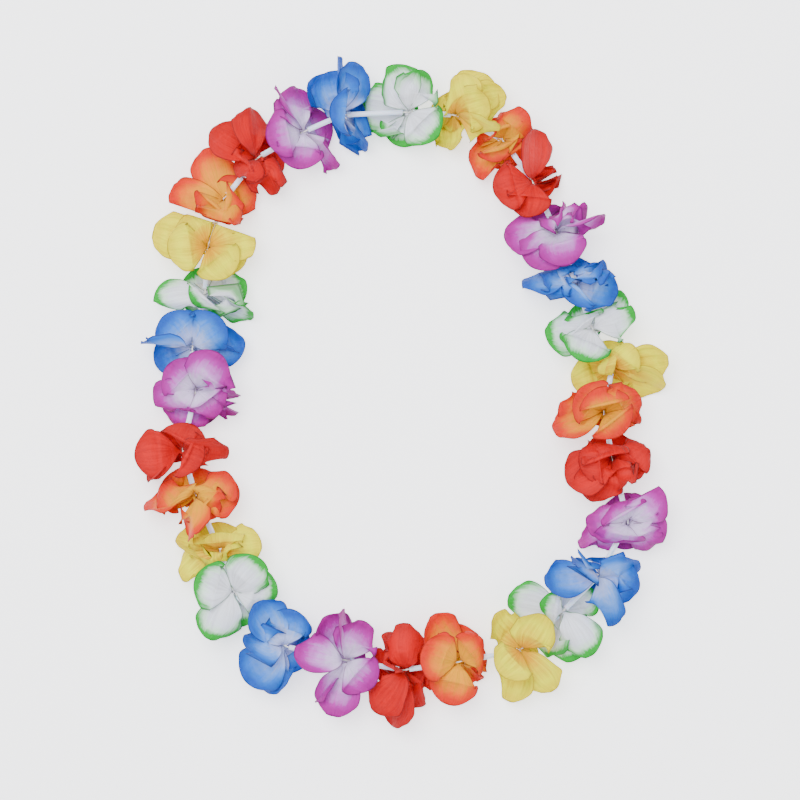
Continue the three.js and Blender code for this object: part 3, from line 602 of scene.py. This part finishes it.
def petal_grid(index, petal, cloth):
    """Rows of points from root to tip, each with the numbers that the cloth's colours are drawn by."""
    length, width = cloth.petal_length * 1000, cloth.petal_width * 1000
    root = cloth.root_width * 1000
    points, level, square = midrib(index, petal, length)
    stations, reach = even_stations(points, ROWS)
    tip_side = UP.cross(level)
    tip_side.rotate(Quaternion(level, petal["roll"]))
    facing = -1 if level.cross(tip_side).z < 0 else 1
    curl = petal["curl"] if abs(petal["curl"]) > 0.01 else 0.01
    seed = Vector((index * 7.3, petal["number"] * 3.1, 0.5))
    chance = noise.noise(seed) * 3
    wide = width * (1 + 0.08 * noise.noise(seed + Vector((0, 0, 4))))
    rows, marks = [], []
    for row in range(ROWS + 1):
        line, note = [], []
        for column in range(COLUMNS + 1):
            v = 2 * column / COLUMNS - 1
            u = row / ROWS
            # the tip is round: the sides of the last rows stay back
            u -= TIP_SETBACK * v * v * smooth((u - 0.5) / 0.5) ** 1.5
            wobble = 1 + 0.035 * noise.noise(Vector((u * 5, v * 2, chance + 9)))
            k = min(u * ROWS, ROWS - 1e-6)
            t = stations[int(k)] + (stations[int(k) + 1] - stations[int(k)]) * (k - int(k))
            tangent = bezier_tangent(points, t)
            side = tip_side - tangent * tip_side.dot(tangent)
            side.normalize()
            normal = tangent.cross(side) * facing
            half = half_width(row / ROWS, wide, root) * wobble
            place = bezier(points, t)
            place = place + side * (half * math.sin(curl * v) / curl)
            place = place + normal * (half * (1 - math.cos(curl * v)) / curl)
            grown = smooth((u - 0.15) / 0.85)
            wave = math.sin(4.2 * v + 5 * chance) + 0.55 * math.sin(8.5 * v - 9 * chance + 2 * u)
            wave += 1.6 * noise.noise(Vector((u * 2.4, v * 1.8, chance * 5)))
            place = place + normal * (cloth.ripple * 1000 * grown * wave * (0.45 + 0.55 * abs(v)))
            line.append(place)
            rim = min((1 - abs(v)) * half, (1 - row / ROWS) * reach)
            far = math.hypot(half * v, u * reach) / reach
            dyed = 0.72 * far + 0.4 * max(0, 1 - rim / 9) * smooth((far - 0.3) / 0.35)
            note.append((dyed, v, chance, half * v, u * reach, rim))
        rows.append(line)
        marks.append(note)
    settle(rows, index, petal)
    petal["cut"] = grid_area(rows)
    return rows, marks, square


def grid_area(rows):
    """The area of a grid of points in square metres."""
    total = 0
    for below, above in zip(rows, rows[1:]):
        for k in range(len(below) - 1):
            total += (above[k + 1] - below[k]).cross(above[k] - below[k + 1]).length / 2
    return total / 1e6


def lay(start, before, after, hold):
    """Lays the next bit of cloth from where the last one has come to lie. It keeps its length."""
    step = after - before
    reach = step.length
    point = hold(start + step)
    way = point - start
    if way.length > 0.3 * reach:
        point = hold(start + way * (reach / way.length))
    return point


def settle(rows, index, petal):
    """Lets the petal's cloth lie against the surface, the straws and the neighbours."""
    over, clearance = petal["over"], petal["clearance"]
    ahead, behind = petal["ahead"], petal["behind"]

    def hold(point):
        for _ in range(2):
            point = keep_off_straws(point, index, over, clearance)
            point = keep_between_neighbours(point, index, ahead, behind)
        point.z = max(point.z, petal["floor"])
        return point

    flat = [list(line) for line in rows]
    middle = COLUMNS // 2
    for row in range(1, len(rows)):
        # the midrib is laid first, then the cloth on both sides of it, step by step
        rows[row][middle] = lay(rows[row - 1][middle], flat[row - 1][middle], flat[row][middle], hold)
        for way in (-1, 1):
            column = middle + way
            while 0 <= column <= COLUMNS:
                rows[row][column] = lay(
                    rows[row][column - way], flat[row][column - way], flat[row][column], hold)
                column += way
    for _ in range(5):
        before = [list(line) for line in rows]
        for row in range(1, len(rows)):
            for column in range(len(rows[row])):
                near = [before[row - 1][column]]
                near += [before[row + 1][column]] if row + 1 < len(rows) else []
                near += [before[row][column - 1]] if column else []
                near += [before[row][column + 1]] if column + 1 < len(rows[row]) else []
                if len(near) == 4:
                    mean = sum(near, Vector()) / 4
                    rows[row][column] = before[row][column] * 0.5 + mean * 0.5
    for row in range(3, len(rows)):
        rows[row] = [hold(point) for point in rows[row]]


# ---------------------------------------------------------------- meshes


def build_mesh(name, points, faces, marks):
    mesh = bpy.data.meshes.new(name)
    mesh.from_pydata([to_frame(point) for point in points], [], faces)
    petal = mesh.attributes.new("petal", "FLOAT_VECTOR", "POINT")
    sizes = mesh.attributes.new("cloth_mm", "FLOAT_VECTOR", "POINT")
    petal.data.foreach_set("vector", [x for mark in marks for x in mark[:3]])
    sizes.data.foreach_set("vector", [x for mark in marks for x in mark[3:]])
    mesh.polygons.foreach_set("use_smooth", [True] * len(mesh.polygons))
    mesh.update()
    piece = bpy.data.objects.new(name, mesh)
    bpy.context.scene.collection.objects.link(piece)
    return piece


def flower_layer(name, index, petals, cloth):
    """One die-cut layer of a flower: its petals grow from one ring that the thread gathers."""
    centre, along = CENTRES[index], thread_direction(index)
    level = along.orthogonal().normalized()
    other = along.cross(level)
    points, marks, faces = [], [], []

    def angle_of(point):
        offset = point - centre
        return math.atan2(offset.dot(other), offset.dot(level))

    grown = []
    for petal in petals:
        rows, notes, square = petal_grid(index, petal, cloth)
        start, end = rows[0][0], rows[0][-1]
        if (end - start).dot(along.cross(square)) < 0:
            rows = [line[::-1] for line in rows]
            notes = [line[::-1] for line in notes]
        grown.append((math.atan2(square.dot(other), square.dot(level)), rows, notes, petal["shift"]))
    grown.sort(key=lambda entry: entry[0])

    def inner(angle, shift, note):
        direction = level * math.cos(angle) + other * math.sin(angle)
        points.append(centre + along * shift + direction * RING_RADIUS)
        marks.append(note)
        return len(points) - 1

    ring = []
    for angle, rows, notes, shift in grown:
        numbers = []
        for line, note in zip(rows, notes):
            numbers.append(list(range(len(points), len(points) + len(line))))
            points.extend(line)
            marks.extend(note)
        for below, above in zip(numbers, numbers[1:]):
            for k in range(len(below) - 1):
                faces.append((below[k], below[k + 1], above[k + 1], above[k]))
        inside = []
        for k in range(len(numbers[0])):
            at = angle + (2 * k / COLUMNS - 1) * RING_HALF_ANGLE
            inside.append(inner(at, shift, (0, 0, notes[0][0][2], 0, 0, 5)))
        for k in range(len(inside) - 1):
            faces.append((inside[k], inside[k + 1], numbers[0][k + 1], numbers[0][k]))
        ring.append((angle, shift, inside, numbers[0]))
    for k, (angle, shift, inside, outside) in enumerate(ring):
        to_angle, to_shift, to_inside, to_outside = ring[(k + 1) % len(ring)]
        start = angle + RING_HALF_ANGLE
        end = to_angle - RING_HALF_ANGLE + (2 * math.pi if k + 1 == len(ring) else 0)
        last_in, last_out = inside[-1], outside[-1]
        steps = max(1, math.ceil((end - start) / 0.6))
        for step in range(1, steps + 1):
            if step == steps:
                next_in, next_out = to_inside[0], to_outside[0]
            else:
                share = step / steps
                at, moved = start + (end - start) * share, shift + (to_shift - shift) * share
                note = (0.02, 0, 0, 0, 0, 5)
                next_in = inner(at, moved, note)
                direction = level * math.cos(at) + other * math.sin(at)
                points.append(centre + along * moved + direction * ROOT_RADIUS)
                marks.append(note)
                next_out = len(points) - 1
            faces.append((last_in, next_in, next_out, last_out))
            last_in, last_out = next_in, next_out
    return build_mesh(name, points, faces, marks)


def tube_points(route, radius, sides, phase=None):
    """Rings of points round a level route, with the way that each ring is turned."""
    rings = []
    for k, point in enumerate(route):
        before, after = route[max(k - 1, 0)], route[min(k + 1, len(route) - 1)]
        along = (after - before).normalized()
        side = UP.cross(along).normalized()
        top = along.cross(side)
        turn = phase(k) if phase else 0
        ring = []
        for j in range(sides):
            angle = 2 * math.pi * j / sides
            # two plies side by side make the section a little longer one way than the other
            size = radius * (1 + 0.14 * math.cos(2 * (angle - turn))) if phase else radius
            ring.append(point + side * size * math.cos(angle) + top * size * math.sin(angle))
        rings.append(ring)
    return rings


def skin(rings, closed_ends=True):
    """Points and faces of a tube through rings."""
    sides = len(rings[0])
    points = [point for ring in rings for point in ring]
    faces = []
    for k in range(len(rings) - 1):
        for j in range(sides):
            a, b = k * sides + j, k * sides + (j + 1) % sides
            faces.append((a, b, b + sides, a + sides))
    if closed_ends:
        faces.append(tuple(range(sides))[::-1])
        faces.append(tuple(range(len(points) - sides, len(points))))
    return points, faces


def numbered(kind, index):
    return f"{kind}_{index + 1:02d}"


# ---------------------------------------------------------------- operators


class LEI_OT_stage(bpy.types.Operator):
    """Makes the floor, the soft light and the camera that looks straight down"""
    bl_idname = "lei.stage"
    bl_label = "Stage"

    def execute(self, context):
        settings = context.scene.lei_stage
        floor_mesh = bpy.data.meshes.new("floor")
        reach, sunk = 3, -0.0004
        corners = [(-reach, -reach), (reach, -reach), (reach, reach), (-reach, reach)]
        floor_mesh.from_pydata([(x, y, sunk) for x, y in corners], [], [(0, 1, 2, 3)])
        floor = bpy.data.objects.new("floor", floor_mesh)
        context.scene.collection.objects.link(floor)
        # opal acrylic lit from below, as on a photographer's light table
        material, tree = new_material("backlit_opal_acrylic", settings.floor_color)
        shader = add_node(tree, "ShaderNodeBsdfPrincipled",
                          inputs={"Base Color": linear(settings.floor_color), "Roughness": 0.9,
                                  "Emission Color": linear(settings.floor_color), "Emission Strength": 1.2})
        add_node(tree, "ShaderNodeOutputMaterial", links={"Surface": shader.outputs[0]})
        floor_mesh.materials.append(material)

        for name, place, size, energy in (
                ("softbox_over", (-0.5, 0.6, 1.9), 1.6, 62),
                ("softbox_side", (1.3, -0.5, 1.1), 1.2, 10)):
            light = bpy.data.lights.new(name, "AREA")
            light.shape = "DISK"
            light.size = size
            light.energy = energy
            lamp = bpy.data.objects.new(name, light)
            lamp.location = place
            lamp.rotation_mode = "QUATERNION"
            lamp.rotation_quaternion = (-Vector(place)).to_track_quat("-Z", "Y")
            context.scene.collection.objects.link(lamp)
        world = bpy.data.worlds.new("white_room")
        world.use_nodes = True
        background = world.node_tree.nodes["Background"]
        background.inputs["Color"].default_value = linear("#fafbff")
        background.inputs["Strength"].default_value = 1.35
        context.scene.world = world

        camera = bpy.data.cameras.new("camera")
        seen = 800 * SCALE * 0.001
        camera.sensor_width = 36
        camera.lens = 36 * settings.camera_height / seen
        camera.clip_end = 20
        eye = bpy.data.objects.new("camera", camera)
        middle = to_frame(from_photo(400, 400, THREAD_HEIGHT))
        eye.location = middle + UP * settings.camera_height
        context.scene.collection.objects.link(eye)
        context.scene.camera = eye
        return {"FINISHED"}


class LEI_OT_thread(bpy.types.Operator):
    """Makes the cotton thread through all flowers and straws, and its knot"""
    bl_idname = "lei.thread"
    bl_label = "Thread and knot"

    def execute(self, context):
        settings = context.scene.lei_thread
        radius = settings.diameter * 500
        knot = CENTRES[KNOT_AFTER].lerp(CENTRES[(KNOT_AFTER + 1) % COUNT], 0.5)
        corners = [knot]
        for k in range(1, COUNT + 1):
            index = (KNOT_AFTER + k) % COUNT
            for other in (index - 1, (index + 1) % COUNT):
                way = (CENTRES[other] - CENTRES[index]).normalized()
                corners.append(CENTRES[index] + way * HUB_THICKNESS / 2)
        corners.append(knot.copy())
        route = []
        for before, after in zip(corners, corners[1:]):
            steps = max(1, round((after - before).length / 0.7))
            route += [before.lerp(after, step / steps) for step in range(steps)]
        route.append(corners[-1])
        turn = 2 * math.pi * 0.7 / (settings.twist * 1000)
        rings = tube_points(route, radius * 0.9, 10, lambda k: k * turn)
        points, faces = skin(rings)
        marks = [(0, 0, 0, p.x, p.y, p.z) for p in points]
        piece = build_mesh("cotton_thread", points, faces, marks)
        piece.data.materials.append(twisted_cotton())
        knot_piece = self.knot(settings, knot, (route[1] - route[0]).normalized(), radius)
        knot_piece.data.materials.append(piece.data.materials[0])
        for made in (piece, knot_piece):
            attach(made, "root")
            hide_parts("thread")
        return {"FINISHED"}

    def knot(self, settings, middle, along, radius):
        """An overhand knot drawn tight, with its two tails lying along the thread."""
        side = UP.cross(along)
        route = []
        steps = 90
        for k in range(steps + 1):
            t = -1 + 2 * k / steps
            a = t * math.pi * 1.5
            across = 1.25 * math.sin(a)
            rise = 1.15 * math.cos(a * 2 / 1.5)
            run = 1.3 * math.sin(a * 2 / 1.5) * math.cos(a / 3) + t * 0.9
            route.append(middle + along * run + side * across + UP * rise)
        tails = []
        for way, end in ((1, route[-1]), (-1, route[0])):
            tail = []
            for k in range(1, 15):
                s = k / 14
                goal = middle + along * way * (1.5 + (KNOT_TAIL - 1.5) * s)
                goal += side * way * (1.0 + 0.7 * math.sin(2.4 * s))
                goal.z += 0.5 * math.sin(5 * s) * (1 - s)
                tail.append(end.lerp(goal, min(1, s * 4)))
            tails.append(tail)
        route = tails[1][::-1] + route + tails[0]
        rings = []
        for k, point in enumerate(route):
            before, after = route[max(k - 1, 0)], route[min(k + 1, len(route) - 1)]
            direction = (after - before).normalized()
            level = direction.orthogonal().normalized()
            if rings:
                level = (last - direction * last.dot(direction)).normalized()
            last = level
            top = direction.cross(level)
            rings.append([
                point + (level * math.cos(j * math.pi / 4) + top * math.sin(j * math.pi / 4)) * radius
                for j in range(8)])
        points, faces = skin(rings)
        return build_mesh("thread_knot", points, faces, [(0, 0, 0, p.x, p.y, p.z) for p in points])


class LEI_OT_straws(bpy.types.Operator):
    """Makes the cut straws that hold the flowers apart"""
    bl_idname = "lei.straws"
    bl_label = "Straw spacers"

    def execute(self, context):
        settings = context.scene.lei_straws
        material = extruded_polypropylene()
        outside, bore = settings.outside * 500, settings.bore * 500
        sides = 24
        for index in range(COUNT):
            if index == KNOT_AFTER:
                continue
            here, there = CENTRES[index], CENTRES[(index + 1) % COUNT]
            along = (there - here).normalized()
            start, end = here + along * STRAW_END_GAP, there - along * STRAW_END_GAP
            reach = (end - start).length
            side = UP.cross(along)
            bevel = 0.12
            profile = [(bevel, bore), (0, bore + bevel), (0, outside - bevel), (bevel, outside)]
            profile += [(reach * k / 4, outside) for k in range(1, 4)]
            profile += [(reach - bevel, outside), (reach, outside - bevel)]
            profile += [(reach, bore + bevel), (reach - bevel, bore)]
            profile += [(reach * k / 4, bore) for k in (3, 2, 1)]
            points, marks = [], []
            for run, radius in profile:
                squeeze = 1 - 0.1 * math.exp(-min(run, reach - run) * 1.5)
                slant = 0.25 * math.sin(index * 2.7)
                for j in range(sides):
                    angle = 2 * math.pi * j / sides
                    cut = slant * math.cos(angle + index) * math.exp(-min(run, reach - run) * 2) * 0.6
                    run_here = min(max(run + cut, -0.1), reach + 0.1)
                    offset = side * radius * math.cos(angle) + UP * radius * squeeze * math.sin(angle)
                    points.append(start + along * run_here + offset)
                    marks.append(
                        (0, 0, 0, radius * math.cos(angle) + 9 * index, radius * math.sin(angle), run))
            count = len(profile)
            faces = []
            for k in range(count):
                for j in range(sides):
                    a, b = k * sides + j, k * sides + (j + 1) % sides
                    c = (k + 1) % count * sides
                    faces.append((a, c + j, c + (j + 1) % sides, b))
            node = numbered("straw", index)
            piece = build_mesh(f"{node}_cut_tube", points, faces, marks)
            piece.data.materials.append(material)
            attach(piece, "root")
            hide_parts(node)
        return {"FINISHED"}


class LEI_OT_flowers(bpy.types.Operator):
    """Makes both die-cut cloth layers of each flower"""
    bl_idname = "lei.flowers"
    bl_label = "Silk flowers"

    def execute(self, context):
        cloth = context.scene.lei_cloth
        cloths = {dye: heat_set_polyester(dye) for dye in DYES}
        for index, (dye, _, _) in enumerate(FLOWERS):
            node = f"{numbered('flower', index)}_{dye}"
            petals = petals_of(index, cloth.petal_length * 1000)
            along, centre = thread_direction(index), CENTRES[index]
            level = along.orthogonal().normalized()
            other = along.cross(level)

            def turn(petal):
                away = petal["tip"] - centre
                return math.atan2(away.dot(other), away.dot(level))

            petals.sort(key=turn)
            for layer, chosen in (("front", petals[0::2]), ("back", petals[1::2])):
                name = f"{node}_{layer}_cloth"
                piece = flower_layer(name, index, chosen, cloth)
                piece.data.materials.append(cloths[dye])
                thick = piece.modifiers.new("cloth", "SOLIDIFY")
                thick.thickness = cloth.thickness
                thick.offset = 0
                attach(piece, "root")
                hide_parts(node)
        return {"FINISHED"}


class LEI_PT_panel(bpy.types.Panel):
    """Lists the steps that make the lei"""
    bl_label = "Silk flower lei"
    bl_idname = "LEI_PT_panel"
    bl_space_type = "VIEW_3D"
    bl_region_type = "UI"
    bl_category = "Lei"

    def draw(self, context):
        for operator in OPERATORS:
            self.layout.operator(operator.bl_idname)
        for group in GROUPS:
            box = self.layout.box()
            for name in GROUPS[group].__annotations__:
                box.prop(getattr(context.scene, group), name)


OPERATORS = (LEI_OT_stage, LEI_OT_thread, LEI_OT_straws, LEI_OT_flowers)
GROUPS = {
    "lei_stage": StageSettings, "lei_thread": ThreadSettings, "lei_straws": StrawSettings,
    "lei_cloth": ClothSettings,
}


def register():
    for kind in (*GROUPS.values(), *OPERATORS, LEI_PT_panel):
        bpy.utils.register_class(kind)
    for name, kind in GROUPS.items():
        setattr(bpy.types.Scene, name, bpy.props.PointerProperty(type=kind))


def unregister():
    for name in GROUPS:
        delattr(bpy.types.Scene, name)
    for kind in reversed((*GROUPS.values(), *OPERATORS, LEI_PT_panel)):
        bpy.utils.unregister_class(kind)


def main():
    register()
    bpy.ops.lei.stage()
    bpy.ops.lei.thread()
    bpy.ops.lei.straws()
    bpy.ops.lei.flowers()


if __name__ == "__main__":
    main()
